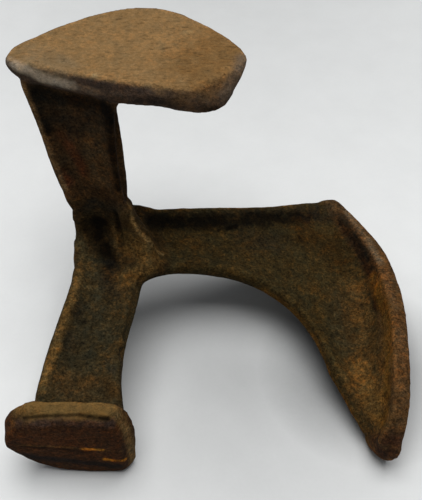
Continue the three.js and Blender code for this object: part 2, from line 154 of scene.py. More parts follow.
def swollen_copy(names, swell):
    """One mesh that holds a slightly larger copy of each region."""
    joined = bmesh.new()
    for name in names:
        piece = bmesh.new()
        piece.from_mesh(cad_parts[name].data)
        bmesh.ops.remove_doubles(piece, verts=piece.verts, dist=WELD)
        piece.normal_update()
        for vert in piece.verts:
            vert.co += vert.normal * swell
        mesh = bpy.data.meshes.new(name + "_copy")
        piece.to_mesh(mesh)
        joined.from_mesh(mesh)
        piece.free()
    mesh = bpy.data.meshes.new("casting")
    joined.to_mesh(mesh)
    joined.free()
    return mesh


body = swollen_copy(REGIONS, SWELL)
print("faces of the copies:", len(body.polygons))

# %% [markdown]
# ### The sweep into the large sole
#
# The large arm meets its sole in a fold, but a real pattern fills such a fold with a wide
# sweep. A long prism does it: one of its edges lies on the web, one on the crest of the sole's
# rim, and one just below the fold. All three are followed in the picture, from top to toe.

# %% Fill the fold
WEB_LINE = [(322, 222), (334, 240), (346, 262), (356, 282), (364, 305), (368, 332), (369, 360),
            (368, 388), (366, 410), (369, 432)]
FOLD_LINE = [(337, 206), (350, 220), (365, 243), (377, 265), (387, 295), (391, 325), (392, 355),
             (391, 390), (386, 420), (379, 442)]
CREST_LINE = [(340, 205), (353, 216), (371, 237), (384, 263), (395, 294), (402, 330), (404, 370),
              (402, 408), (397, 434), (389, 450)]
BELOW_FOLD = 3                       # mm


def add_wedge(mesh, web, fold, crest):
    """Adds a prism between a line on the web, one below the fold and one on the crest."""
    prism = bmesh.new()
    prism.from_mesh(mesh)
    rows = []
    for on_web, in_fold, on_crest in zip(web, fold, crest):
        deep = Vector(seen_at(*in_fold)) + sight(*in_fold) * BELOW_FOLD * MM
        rows.append([prism.verts.new(co)
                     for co in (seen_at(*on_web), seen_at(*on_crest), deep)])
    faces = [prism.faces.new(rows[0]), prism.faces.new(rows[-1])]
    for here, there in zip(rows, rows[1:]):
        for k in range(3):
            faces.append(prism.faces.new(
                (here[k], here[(k + 1) % 3], there[(k + 1) % 3], there[k])))
    bmesh.ops.recalc_face_normals(prism, faces=faces)
    prism.to_mesh(mesh)
    prism.free()


add_wedge(body, WEB_LINE, FOLD_LINE, CREST_LINE)
print("rows in the prism:", len(WEB_LINE))

# %% Wrap one skin around it all
casting = bpy.data.objects.new("casting", body)
bpy.context.collection.objects.link(casting)


def apply_modifiers(thing):
    """Turns an object's modifiers into plain mesh."""
    graph = bpy.context.evaluated_depsgraph_get()
    mesh = bpy.data.meshes.new_from_object(thing.evaluated_get(graph))
    thing.modifiers.clear()
    thing.data = mesh


remesh = casting.modifiers.new("skin", "REMESH")
remesh.mode = "VOXEL"
remesh.voxel_size = VOXEL
apply_modifiers(casting)
print("points in the skin:", len(casting.data.vertices))

# %% [markdown]
# ## Sand-cast softness
#
# Molten iron and a hand-rammed sand mould leave no sharp corner. Inner corners are filled,
# because a pattern maker waxes them so that the sand doesn't tear, and outer corners are
# worn. Both can be had from one idea: compare each point with the middle of its neighbours.
# Where the middle lies outside the skin, the point is in a hollow, and where it lies
# inside, the point is on an edge. Moving only the first kind fills corners, and moving
# only the second kind rounds edges.

# %% Read the skin as arrays
def points_of(mesh):
    """Where the points are, as one row of x, y, z each."""
    flat = np.empty(len(mesh.vertices) * 3)
    mesh.vertices.foreach_get("co", flat)
    return flat.reshape(-1, 3)


def edges_of(mesh):
    """Which two points each edge joins."""
    flat = np.empty(len(mesh.edges) * 2, dtype=np.int64)
    mesh.edges.foreach_get("vertices", flat)
    return flat.reshape(-1, 2)


def normals_of(mesh, points):
    """Moves the mesh to these points, and reads which way the skin faces at each."""
    mesh.vertices.foreach_set("co", points.ravel())
    mesh.update()
    flat = np.empty(len(points) * 3, dtype=np.float32)
    mesh.vertex_normals.foreach_get("vector", flat)
    return flat.reshape(-1, 3).astype(float)


class Neighbours:
    """Which points each point is joined to, and the mean of any value over them."""

    def __init__(self, mesh):
        pairs = edges_of(mesh)
        self.count = len(mesh.vertices)
        self.to = np.concatenate([pairs[:, 0], pairs[:, 1]])
        self.other = np.concatenate([pairs[:, 1], pairs[:, 0]])
        self.number = np.bincount(self.to, minlength=self.count)

    def mean(self, values, rounds=1):
        """Replaces each value by its neighbours' mean, once or more often."""
        for _ in range(rounds):
            columns = [np.bincount(self.to, column[self.other], self.count) / self.number
                       for column in np.atleast_2d(values.T)]
            values = np.squeeze(np.stack(columns, axis=1))
        return values


skin = casting.data
near = Neighbours(skin)
points = points_of(skin)
print("edges in the skin:", len(near.to) // 2)

# %% Find what lies near a place
TINY = 1e-12                         # a line may be a single place, with no length

region = np.array([owner[surface_tree.find_nearest(Vector(p))[2]] for p in points])


def on_region(*names, blur=3):
    """1 on some regions, and 0 on the others, with a soft border."""
    mask = np.isin(region, [REGIONS.index(name) for name in names]).astype(float)
    return near.mean(mask, blur)[:, None]


def near_line(points, start, end, radius):
    """1 on a line between two places, falling smoothly to 0 at a radius around it."""
    line = end - start
    squared_length = max(line @ line, TINY)
    along = np.clip((points - start) @ line / squared_length, 0, 1)
    away = np.linalg.norm(points - start - along[:, None] * line, axis=1) / radius
    return (np.clip(1 - away ** 2, 0, 1) ** 2)[:, None]


def near_path(points, path, radius):
    """The same along a path of points of the picture, with a radius in mm."""
    places = [seen_at(*spot) for spot in path]
    legs = zip(places, places[1:] or places)
    return np.max([near_line(points, a, b, radius * MM) for a, b in legs], axis=0)


print("points of the hub:", int((region == REGIONS.index("hub")).sum()))

# %% [markdown]
# ### Hollows first, then edges
#
# The arms' webs are filled a little. The hub and the sweep into the large sole are filled
# most, until rim and web are one dished surface. The shoulder of the small sole and the
# upper corner of the heel plate were hammered on for years, so they are well rounded, and so
# are a few corners of the feet.

# %% Soften the skin
TO_MIDDLE = 0.9                      # share of the way along the normal, for each round
ALONG_SKIN = 0.4                     # the same along the skin, which keeps the points even
HUB_BALL = 55 * MM                   # radius of the filling around the hub's middle
HUB_SHIFT = 10 * MM                  # how far the ball is drawn out, right, back and up


def relax(points, rounds, hollows, edges):
    """Moves hollows outward and edges inward, each by a strength from 0 to 1."""
    for _ in range(rounds):
        normals = normals_of(skin, points)
        step = near.mean(points) - points
        out = (step * normals).sum(axis=1, keepdims=True)
        strength = np.where(out > 0, hollows, edges)
        points = (points + strength * out * normals * TO_MIDDLE
                  + ALONG_SKIN * (step - out * normals))
    return points


hub_low, hub_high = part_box("hub")
hub_middle = np.array((hub_low + hub_high) / 2)
arms = on_region("small_sole_arm", "large_sole_arm", "heel_arm", "hub", blur=6)
at_hub = near_line(points, hub_middle, hub_middle + HUB_SHIFT, HUB_BALL)
shoulder = near_path(points, [(12, 62), (70, 79), (130, 84), (205, 90), (238, 66)], 11)
heel_corner = near_path(points, [(14, 428), (30, 424), (70, 422), (108, 424)], 12)
points = relax(points, 6, hollows=1.0, edges=1.0)
print("points that the arms' filling moves:", int((arms > 0.5).sum()))

# %% Fill the arms, the hub and the sweep
claw = near_path(points, [(130, 214), (150, 244), (160, 262)], 16)
sweep = near_path(points, [(316, 216), (346, 234), (366, 270), (377, 320), (381, 370),
                           (376, 420), (383, 446)], 30)
inner_rim = near_path(points, [(160, 276), (215, 276), (262, 290), (300, 318), (330, 370),
                               (365, 438)], 12)
points = relax(points, 18, hollows=arms, edges=0.0)
under_sole = near_path(points, [(112, 106), (118, 108)], 12)
filled = np.maximum(sweep, np.maximum(at_hub * 0.8, under_sole))
points = relax(points, 110, hollows=filled, edges=claw * 0.25)
points = relax(points, 14, hollows=0.0, edges=inner_rim * 0.4)
print("points in the filled corners:", int((filled > 0.5).sum()))

# %% Round the corners of the feet
heel_side = near_path(points, [(131, 424), (136, 450), (128, 468)], 10)
points = relax(points, 24, hollows=heel_side, edges=heel_side)
low_corner = near_path(points, [(138, 450), (135, 464)], 13)
toe_corner = near_path(points, [(374, 447), (378, 454)], 11)
sole_corner = near_path(points, [(239, 88), (232, 98)], 10)
corners = np.max([low_corner, toe_corner, sole_corner * 0.8], axis=0)
points = relax(points, 70, hollows=0.0, edges=corners)
points = relax(points, 40, hollows=0.0, edges=np.maximum(shoulder, heel_corner))
print("points at the rounded corners:", int((corners > 0.5).sum()))

# %% [markdown]
# ### Where softening took too much
#
# Rounding an edge also draws it in. The places below are moved back out along their normals,
# or further in where the real arm is slimmer. Each is a short path of the picture, a
# radius and a height in mm. One more softening blends them in, and the side of the large
# sole's toe gets a few rounds of its own.

# %% Push the edges back
EDGES = {                                # path, radius in mm, rise in mm
    "upright arm, left": ([(20, 88), (38, 134), (54, 172), (66, 200)], 10.0, 1.9),
    "hub, left": ([(66, 200), (73, 220), (75, 240), (77, 256)], 9.0, 1.6),
    "upright arm, right": ([(119, 112), (121, 145), (125, 180), (129, 198)], 8.0, -4.0),
    "heel arm, left": ([(77, 276), (65, 312), (55, 340), (45, 372), (40, 392)], 9.0, 1.4),
    "heel arm, right": ([(139, 284), (133, 310), (128, 332), (123, 352)], 8.0, -3.0),
    "heel plate, shoulder": ([(8, 418), (18, 407), (32, 401)], 9.0, 1.8),
    "large sole, toe": ([(381, 460), (397, 455)], 10.0, 1.6),
    "large arm, lower rim": ([(334, 374), (348, 405), (360, 428)], 10.0, 1.6),
    "large arm, end of that rim": ([(361, 429), (366, 438)], 8.0, 1.5),
    "small sole, heel end": ([(9, 60), (16, 68)], 9.0, 1.8),
    "small sole, rear edge": ([(20, 44), (70, 22), (130, 8), (180, 18)], 8.0, 1.2),
    "small sole, lower lip": ([(116, 99), (160, 100), (205, 108), (230, 100)], 6.0, 2.2),
    "hub, mound": ([(128, 212), (132, 232), (140, 247), (150, 260)], 10.0, 2.4),
    "hub, pocket": ([(98, 226), (103, 252)], 13.0, -2.4),
}


def push(points, table):
    """Moves places along their normals, by a table of paths, radii and heights."""
    normals = normals_of(skin, points)
    for path, radius, rise in table.values():
        points = points + normals * near_path(points, path, radius) * rise * MM
    return points


points = relax(push(points, EDGES), 9, hollows=0.8, edges=0.3)
toe_side = near_path(points, [(360, 428), (374, 450)], 11)
points = relax(points, 24, hollows=toe_side, edges=toe_side)
print("edges pushed:", len(EDGES))

# %% [markdown]
# The filled corners now lie several millimetres in front of the regions' faces. So from here
# on, a point of the picture is looked up on the skin itself.

# %% Look up places on the skin
surface_tree = BVHTree.FromPolygons(points.tolist(),
                                    [tuple(p.vertices) for p in skin.polygons])
print("the camera sees the hub at", seen_at(110, 262).round(3))

# %% [markdown]
# ## Cast texture
#
# A casting keeps the grain of its sand, and a century of rust adds broad, shallow waves and
# scattered pits. Waves that are wider than the skin's points are real geometry. The grain
# is finer than that, and comes later from the material.

# %% Move the points by layered noise
BROAD_HEIGHT, LUMPY_HEIGHT = 0.22, 0.16  # mm
FALLOFF, FINER = 0.9, 2.1                # each octave's loss of height, and of size


def noise_at(points, scale, octaves, seed):
    """Layered noise with so many waves a metre. Each seed reads another part of it."""
    shift = Vector((seed * 7.3, seed * 3.1, seed * 5.7))
    return np.array([noise.fractal(Vector(p) * scale + shift, FALLOFF, FINER, octaves)
                     for p in points])


normals = normals_of(skin, points)
broad = noise_at(points, 55, 2, 1)
lumpy = noise_at(points, 190, 3, 2)
texture = BROAD_HEIGHT * MM * broad + LUMPY_HEIGHT * MM * lumpy
points = points + normals * texture[:, None]
print("texture height in mm:", round(float(np.abs(texture).max()) / MM, 2))

# %% [markdown]
# ### Marks of the mould and of the years
#
# A few places stand out from the general roughness: a burr that the mould's joint left on the
# heel arm, a small crescent where the sand slipped, dents in the sole, and the groove between
# the hub's pocket and its mound.

# %% Raise the burrs and press the dents
REAR_DENT = [(116, 18), (121, 17)]
MIDDLE_DENT = [(163, 48), (167, 47)]
RELIEF = {                               # path, radius in mm, rise in mm
    "burr on the heel arm": ([(120, 340), (121, 345)], 2.6, 2.2),
    "crescent under the rim": ([(221, 232), (226, 227), (235, 225)], 2.0, 0.9),
    "hollow of the crescent": ([(223, 229), (231, 230)], 2.2, -0.5),
    "rear dent": (REAR_DENT, 2.0, -0.8),
    "middle dent": (MIDDLE_DENT, 1.8, -0.7),
    "ear of the large arm's rim": ([(131, 200), (141, 204), (149, 209)], 4.5, 0.9),
    "groove beside the mound": ([(116, 214), (119, 230), (122, 244)], 3.2, -1.8),
    "upper bump on the hub": ([(72, 214), (74, 219)], 2.6, 1.0),
    "lower bump on the hub": ([(75, 242), (77, 252)], 2.4, 0.8),
}
points = relax(push(points, RELIEF), 1, hollows=0.6, edges=0.4)
low, high = (np.array(corner) for corner in cad_box)
points = np.clip(points, low, high)
normals = normals_of(skin, points)
skin.shade_smooth()
print("marks raised or pressed:", len(RELIEF))

# %% [markdown]
# ## Where each colour goes
#
# Rust isn't even. The faces that shoes were pulled over are light and tan, the arms are
# a dark olive brown, and the corners of the hub are almost black, with dirt and with painted
# shade that the patches below add. These broad zones are stored on the points, as a colour, so
# that the material only has to add the fine detail.
# Each point takes the colour of its nearest region, and the borders are then blurred.

# %% Paint the broad zones
ZONES = {
    "small_sole": (0.045, 0.031, 0.024), "small_sole_arm": (0.038, 0.021, 0.009),
    "large_sole": (0.076, 0.040, 0.016), "large_sole_arm": (0.036, 0.0245, 0.009),
    "heel_plate": (0.036, 0.016, 0.007), "heel_arm": (0.033, 0.024, 0.011),
    "hub": (0.032, 0.020, 0.008),
}
SOLE_TAN, HEEL_TAN = (0.234, 0.141, 0.062), (0.144, 0.086, 0.030)

zone = np.array([ZONES[name] for name in REGIONS])[region]
zone = near.mean(zone, 8)


def share(values, low, high):
    """0 below low, 1 above high, and a smooth rise between them."""
    t = np.clip((values - low) / (high - low), 0, 1)
    return (t * t * (3 - 2 * t))[:, None]


def tint(zone, mask, colour):
    """The zones' colours, with another colour where the mask is 1."""
    return zone * (1 - mask) + np.array(colour) * mask


facing_up = share(near.mean(normals[:, 2], 2), 0.55, 0.95)
zone = tint(zone, on_region("small_sole") * facing_up, SOLE_TAN)
zone = tint(zone, on_region("heel_plate") * facing_up, HEEL_TAN)
print("zones painted:", len(ZONES))

# %% [markdown]
# ### Patches and streaks
#
# On top of the zones lie the patches that give this casting its face: painted shade, black
# and sooty, in the hub's corners, under the soles and rims and in creases, orange where water
# ran, purple-brown scale at the toe, grey iron where the edge of the small sole is rubbed bare
# and painted lighter as a highlight, and a few more painted highlights on rims and ridges.
# Each is a path of the picture, a radius in mm, a colour and a strength from 0 to 1. Later
# patches lie over earlier ones.

# %% Mix the colours that several patches share
# The black and the sooty colour serve mostly as painted shade: in the hub's corners, under the
# soles and rims, and in creases. Black also fills the dents, and the sooty colour marks the soot
# spots on the heel arm.
BLACK, SOOT_AND_SHADE = (0.003, 0.002, 0.001), (0.012, 0.010, 0.007)
ORANGE, RED = (0.150, 0.068, 0.011), (0.055, 0.017, 0.007)
WARM, OLIVE = (0.120, 0.070, 0.022), (0.026, 0.022, 0.012)
GREY = (0.360, 0.300, 0.240)
print("shared colours: 7")

# %% Patches of the hub and the upright arm
# The line of a painted highlight along the mound's ridge.
MOUND_HIGHLIGHT = [(128, 204), (133, 222), (140, 233), (152, 244), (162, 254)]
HUB_PATCHES = {
    # Dirt and painted shade in the hub's pocket, which the small sole and the arms hide from the
    # light.
    "deep pocket": ([(100, 222), (103, 240), (108, 262)], 9.5, BLACK, 0.95),
    "left side of the pocket": ([(84, 224), (91, 232)], 7, BLACK, 0.6),
    "lower end of the pocket": ([(106, 262), (114, 270)], 6, SOOT_AND_SHADE, 0.6),
    "pale left side": ([(77, 236), (84, 256)], 6, (0.060, 0.044, 0.019), 0.6),
    # Painted shade in the narrow groove beside the mound.
    "groove beside the mound": ([(115, 212), (119, 230), (122, 246)], 3.4, BLACK, 1.0),
    "light wall of the groove": ([(112, 224), (115, 246)], 2.4, (0.070, 0.045, 0.018), 0.6),
    # Painted shade in the corner where the upright arm meets the hub.
    "root of the upright arm": ([(98, 196), (104, 216)], 12, BLACK, 0.5),
    "shade across the root": ([(84, 207), (112, 207)], 10, SOOT_AND_SHADE, 0.6),
}
UPRIGHT_PATCHES = {
    # Painted shade under the small sole.
    "spot under the sole": ([(106, 110), (108, 124)], 7, BLACK, 0.7),
    "shade under the sole": ([(30, 92), (50, 96), (95, 104)], 8, BLACK, 0.75),
    # Painted shade in the groove beside the left rim, under the sole.
    "black beside the left rim": ([(33, 94), (39, 110), (46, 130)], 7, BLACK, 0.95),
    "upper red stain": ([(62, 135), (78, 160), (84, 172)], 6, RED, 0.6),
    "lower red stain": ([(58, 172), (67, 182)], 6, RED, 0.8),
    "lighter middle": ([(92, 130), (100, 178)], 11, (0.044, 0.029, 0.014), 0.65),
    # Painted shade under the small sole, in the inner corner and in the groove along the right
    # rim.
    "shaded top": ([(46, 100), (64, 120), (96, 122)], 16, SOOT_AND_SHADE, 0.65),
    "black inner corner": ([(104, 106), (109, 122)], 7, BLACK, 0.95),
    "black right rim": ([(108, 118), (113, 150), (119, 188)], 5, BLACK, 0.85),
    # Painted highlight along the upright arm's left rim.
    "highlight on the left rim": ([(22, 84), (42, 134), (64, 188)], 3.8, (0.110, 0.066, 0.030), 0.85),
    # Painted highlight along the mound's ridge.
    "highlight on the mound's ridge": (MOUND_HIGHLIGHT, 2.4, (0.170, 0.112, 0.048), 0.7),
    "pale lower hub": ([(90, 264), (88, 290)], 12, (0.044, 0.034, 0.016), 0.7),
    "warm mound": ([(128, 240), (138, 250), (156, 256)], 12, WARM, 0.5),
    "warm fork": ([(124, 280), (146, 268)], 10, WARM, 0.5),
}
print("patches:", len(HUB_PATCHES) + len(UPRIGHT_PATCHES))

# %% Patches of the large arm and the large sole
RIM_SHADE = [(152, 223), (200, 223), (262, 220), (306, 218)]
# The path of painted shade inside the large sole's rim.
SWEEP_SHADE = [(344, 222), (357, 241), (371, 272), (378, 304)]
SOLE_RIM = [(352, 219), (385, 270), (402, 340), (402, 425)]
LOWER_RIM = [(262, 292), (300, 320), (335, 385), (352, 420), (366, 446)]
LARGE_PATCHES = {
    # Painted shade under the large arm's upper rim: wide and sooty, then black, fading towards
    # its end.
    "wide shade under the rim": ([(150, 219), (200, 219), (262, 216), (325, 210)], 10, SOOT_AND_SHADE, 0.7),
    "black under the rim": (RIM_SHADE, 9, BLACK, 0.85),
    "end of that black": ([(306, 218), (330, 217)], 8, (0.012, 0.008, 0.005), 0.6),
    # Painted light: the lower sweep is made lighter and warmer.
    "warm sweep": ([(354, 300), (366, 350), (376, 420)], 24, (0.064, 0.036, 0.012), 0.85),
    "orange sweep": ([(360, 370), (374, 405), (380, 432)], 10, (0.125, 0.066, 0.018), 0.6),
    # Painted shade: the upper web is made darker.
    "brown web": ([(302, 236), (332, 246), (340, 262)], 18, (0.028, 0.015, 0.004), 0.8),
    "grey web": ([(246, 238), (276, 243)], 15, (0.016, 0.013, 0.008), 0.6),
    # Painted shade inside the large sole's rim, down the sweep.
    "shade down the sweep": (SWEEP_SHADE, 9.5, (0.009, 0.005, 0.003), 0.9),
    # Painted shade under the crescent's lip.
    "under the crescent": ([(218, 231), (226, 229), (236, 226)], 2.4, BLACK, 0.9),
    "warm upper rim": ([(150, 210), (225, 208), (290, 202)], 3.5, WARM, 0.35),
    # Painted shade inside the upper part of the sole's rim.
    "shade beside the sole's rim": ([(340, 214), (362, 240), (376, 275)], 5, SOOT_AND_SHADE, 0.75),
    "orange run": ([(375, 280), (386, 315), (389, 360), (384, 420)], 9, ORANGE, 0.6),
    "brown rim of the sole": (SOLE_RIM, 5, (0.085, 0.045, 0.020), 0.6),
    "purple toe": ([(376, 449), (393, 442), (396, 452)], 14, (0.031, 0.014, 0.008), 0.9),
    # Painted highlight on the upper rim of the large sole.
    "highlight on the sole's upper rim": ([(346, 212), (366, 236), (382, 264)], 4, (0.130, 0.095, 0.060), 0.6),
    "olive web": ([(334, 300), (342, 345)], 14, OLIVE, 0.3),
    "orange lower rim": (LOWER_RIM, 6.5, ORANGE, 0.45),
    # Painted shade along the lower edge of the arch.
    "shade along the arch": ([(155, 277), (210, 276), (250, 285)], 2.5, SOOT_AND_SHADE, 0.7),
}
print("patches:", len(LARGE_PATCHES))

# %% Patches of the heel arm and the heel plate
HEEL_PATCHES = {
    "warm left rim": ([(80, 272), (66, 318), (41, 388)], 5, WARM, 0.45),
    "upper sooty spot": ([(77, 312), (82, 306)], 6, SOOT_AND_SHADE, 0.8),
    "middle sooty spot": ([(68, 338), (72, 346)], 8, SOOT_AND_SHADE, 0.45),
    "lower sooty spot": ([(108, 362), (112, 370)], 5, SOOT_AND_SHADE, 0.55),
    "olive web": ([(94, 300), (92, 350)], 14, OLIVE, 0.6),
    "brown lower end": ([(62, 384), (112, 388)], 12, (0.054, 0.032, 0.012), 0.75),
    "sooty root": ([(106, 280), (114, 292)], 9, SOOT_AND_SHADE, 0.5),
    "tan top of the plate": ([(16, 409), (62, 404), (114, 409)], 5, HEEL_TAN, 0.7),
    "brown band": ([(18, 424), (60, 421), (112, 424)], 4.5, (0.040, 0.024, 0.018), 0.9),
    # Painted shade along the upper edge of the heel's face.
    "thin upper crease": ([(24, 418), (40, 416), (80, 415)], 1.9, BLACK, 0.8),
    "its wider end": ([(80, 415), (108, 419)], 2.4, BLACK, 0.95),
    # Painted shade on the lower part of the heel's face, which tucks under.
    "dark lower face": ([(24, 455), (60, 460), (116, 466)], 7.5, (0.008, 0.006, 0.005), 0.95),
    # Painted shade in the lower crease of the heel's face.
    "lower crease": ([(20, 446), (60, 449), (126, 453)], 1.8, BLACK, 0.7),
    "upper orange fleck": ([(83, 449), (103, 450)], 1.7, (0.300, 0.120, 0.012), 0.9),
    "lower orange fleck": ([(105, 459), (126, 459)], 2.1, (0.340, 0.135, 0.012), 1.0),
    "rubbed right edge": ([(120, 416), (129, 436), (133, 460)], 6, (0.150, 0.090, 0.034), 0.8),
    # Painted highlight on the step above the crease.
    "highlight above the crease": ([(16, 445), (60, 447), (122, 451)], 1.2, WARM, 0.35),
}
print("patches:", len(HEEL_PATCHES))

# %% Patches of the small sole
# The small sole's edge, rubbed bare and painted lighter as a highlight.
RUBBED_AND_HIGHLIT_EDGE = [(9, 60), (20, 68), (40, 77), (72, 86)]
SMALL_SOLE_PATCHES = {
    # Bare iron and a painted highlight along the sole's lower edge, thinning out towards its
    # end.
    "bare grey edge and highlight": (RUBBED_AND_HIGHLIT_EDGE, 4.4, GREY, 0.9),
    "end of the grey edge": ([(72, 86), (96, 92)], 3.6, (0.150, 0.118, 0.090), 0.6),
    "dull lip": ([(74, 88), (120, 96)], 4, (0.070, 0.048, 0.034), 0.5),
    # A thin painted highlight along the same edge.
    "thin grey line": ([(40, 80), (75, 88)], 2.5, GREY, 0.35),
    # Painted shade under the small sole's lip.
    "black underside": ([(112, 99), (160, 100), (210, 108)], 4, BLACK, 0.6),
    "orange toe half": ([(216, 48), (196, 68)], 30, (0.166, 0.089, 0.032), 0.75),
    "pale toe edge": ([(245, 60), (240, 76), (228, 94)], 9, (0.120, 0.088, 0.064), 0.75),
    # Painted shade under the toe's lip.
    "black under the toe": ([(198, 105), (218, 109)], 3.4, BLACK, 0.7),
    "pale heel end": ([(30, 56), (60, 64)], 16, (0.190, 0.140, 0.085), 0.5),
    "scratch near the toe": ([(186, 32), (190, 31)], 3.0, (0.360, 0.260, 0.130), 0.5),
    "scratch at the front": ([(93, 75), (96, 75)], 2.0, (0.320, 0.240, 0.130), 0.5),
    "rear dent": (REAR_DENT, 1.8, BLACK, 0.8),
    "middle dent": (MIDDLE_DENT, 1.7, BLACK, 0.6),
}
print("patches:", len(SMALL_SOLE_PATCHES))

# %% Paint the patches
PATCH_FILL, FRAYING = 1.15, 0.9      # how full a patch is, and how far noise eats into it

PATCHES = [*HUB_PATCHES.values(), *UPRIGHT_PATCHES.values(), *LARGE_PATCHES.values(),
           *HEEL_PATCHES.values(), *SMALL_SOLE_PATCHES.values()]
fray = noise_at(points, 130, 4, 5)
for path, radius, paint, strength in PATCHES:
    mask = near_path(points, path, radius)
    mask = np.clip(mask * (PATCH_FILL + FRAYING * fray[:, None]), 0, 1)
    zone = tint(zone, mask * strength, paint)
print("patches painted:", len(PATCHES))

# %% [markdown]
# ### Hollows and edges
#
# Dirt and painted shade darken the hollows, and hands rub edges. Both are measured once more,
# now on the finished skin: a point that lies below the middle of a wide patch around it is in a
# hollow. A third value says where the iron is worn smooth, on the faces that shoes were pulled
# over.

# %% Measure hollows, edges and wear
smooth = near.mean(points, 8)
bend = ((smooth - points) * normals).sum(axis=1) / MM    # how deep a point lies, in mm
hollow = share(bend, 0.02, 0.5)[:, 0]
edge = share(-bend, 0.05, 0.6)[:, 0]


def store(name, values):
    """Keeps a value on each point, where the material can read it."""
    attribute = skin.attributes.new(name, "FLOAT", "POINT")
    attribute.data.foreach_set("value", values.astype(np.float32))


def store_colour(name, values):
    """Keeps a colour on each point."""
    attribute = skin.attributes.new(name, "FLOAT_COLOR", "POINT")
    rgba = np.concatenate([values, np.ones((len(values), 1))], axis=1)
    attribute.data.foreach_set("color", rgba.astype(np.float32).ravel())


store("hollow", hollow)
store("edge", edge)
pulled_over = on_region("small_sole", "heel_plate") * facing_up
rubbed_bare = near_path(points, RUBBED_AND_HIGHLIT_EDGE, 11)
store("worn", np.max([pulled_over, rubbed_bare, on_region("small_sole") * 0.6], axis=0)[:, 0])
store_colour("zone", zone)
print("hollow and edge points:", int((hollow > 0.5).sum()), int((edge > 0.5).sum()))

# %% [markdown]
# ## Writing a material as sums
#
# A material is a graph of nodes, and most of them do arithmetic. The class below wraps one
# output of a node, so that the graph can be written as a formula: adding or multiplying
# two wrapped values adds a Math node. All the other nodes come from one method.

# %% A wrapper for node outputs
class Wire:
    """One output of a node, which can be used in a formula."""

    def __init__(self, tree, socket=None):
        self.tree = tree
        self.socket = socket

    def node(self, kind, settings=None, sockets=None, output=0):
        """Adds a node, sets it up, plugs its sockets, and wraps one of its outputs."""
        made = self.tree.nodes.new("ShaderNode" + kind)
        for name, value in (settings or {}).items():
            if name == "stops":
                ramp = made.color_ramp.elements
                while len(ramp) < len(value):
                    ramp.new(1)
                for element, (place, grey) in zip(ramp, value):
                    element.position = place
                    element.color = (grey, grey, grey, 1)
            else:
                setattr(made, name, value)
        for name, value in (sockets or {}).items():
            if isinstance(value, Wire):
                self.tree.links.new(value.socket, made.inputs[name])
            else:
                made.inputs[name].default_value = value
        return Wire(self.tree, made.outputs[output])

    def math(self, operation, other):
        return self.node("Math", {"operation": operation}, {0: self, 1: other})

    def __add__(self, other):
        return self.math("ADD", other)

    __radd__ = __add__

    def __mul__(self, other):
        return self.math("MULTIPLY", other)

    __rmul__ = __mul__

    def __sub__(self, other):
        return self.math("SUBTRACT", other)

    def __rsub__(self, other):
        return self.node("Math", {"operation": "SUBTRACT"}, {0: other, 1: self})

    def noise(self, scale, detail=4, roughness=0.6):
        """Soft random clouds from 0 to 1 at a position."""
        return self.node("TexNoise", {}, {"Vector": self, "Scale": scale, "Detail": detail,
                                          "Roughness": roughness})

    def times(self, x, y, z):
        """A position or colour whose three parts are multiplied by a factor each."""
        return self.node("VectorMath", {"operation": "MULTIPLY"}, {0: self, 1: (x, y, z)})

    def around(self, middle, gain):
        """Noise, which lies around 0.5, moved to another middle and made stronger."""
        return (self - 0.5) * gain + middle

    def steps(self, *stops):
        """A value looked up in a ramp of greys."""
        return self.node("ValToRGB", {"stops": stops}, {0: self})

    def blend(self, other, mask):
        """This colour where the mask is 0, and another where it is 1."""
        return self.node("Mix", {"data_type": "RGBA"}, {0: mask, 6: self, 7: other}, 2)

    def scaled(self, factor):
        """This colour, lighter or darker."""
        return self.node("VectorMath", {"operation": "SCALE"}, {0: self, 3: factor})


# %% [markdown]
# ## Rusted iron
#
# Old cast iron is read in layers. The zone's colour is the ground. Clouds of three sizes
# make it lighter and darker, flakes of orange rust lie in patches, grime and painted shade are
# nearly black in the hollows, and the edges are rubbed a little lighter. The bump holds the
# sand's grain and the pits. The whole is rough, with only a weak shine.

# %% Read what the points hold
iron = bpy.data.materials.new("rusted_iron")
iron.use_nodes = True
iron.node_tree.nodes.clear()
start = Wire(iron.node_tree)
place = start.node("TexCoord", output="Object")
ground = start.node("Attribute", {"attribute_name": "zone"}, output="Color")
in_hollow = start.node("Attribute", {"attribute_name": "hollow"}, output="Fac")
on_edge = start.node("Attribute", {"attribute_name": "edge"}, output="Fac")
worn = start.node("Attribute", {"attribute_name": "worn"}, output="Fac")
crust = 1 - worn * 0.68              # how strongly rust shows, least where the iron is worn
print("values read from the points: 4")

# %% Make clouds, grain and pits
CLOUDS, MOTTLE, HUES, BLOTCHES = 32, 110, 120, 320    # waves per metre
FLECKS, PITS, GRAIN = 300, 330, 760                   # the same

clouds = place.noise(CLOUDS, 5, 0.62)
mottle = place.noise(MOTTLE, 6, 0.68)
lain = place.times(0.85, 1.0, 1.05)  # a little longer from left to right
blotch = lain.noise(BLOTCHES, 5, 0.7)
grain = lain.noise(GRAIN, 4, 0.8)
drawn = lain.times(0.6, 1.8, 1).noise(FLECKS, 5, 0.75)
cells = start.node("TexVoronoi", {}, {"Vector": place, "Scale": PITS, "Randomness": 1})
pits = cells.steps((0.0, 0.0), (0.22, 1.0))
flecks = drawn.steps((0.54, 0.0), (0.62, 1.0))
rusty = (clouds * 0.4 + blotch * 0.6).steps((0.50, 0.0), (0.60, 1.0))
hue = (place.noise(HUES, 6, 0.75) - 0.5) * crust * 4.5 + 0.5
print("nodes so far:", len(iron.node_tree.nodes))

# %% [markdown]
# The colour starts as the ground, between a greener and a redder form of itself. Each line
# below lays one more thing over it. Rust, flecks and rubbed edges are made from the colour
# that is already there, so that they stay dark in a dark corner.

# %% Mix the colour
GRIME_AND_SHADE, PIT_BLACK = (0.006, 0.005, 0.003, 1), (0.016, 0.011, 0.007, 1)

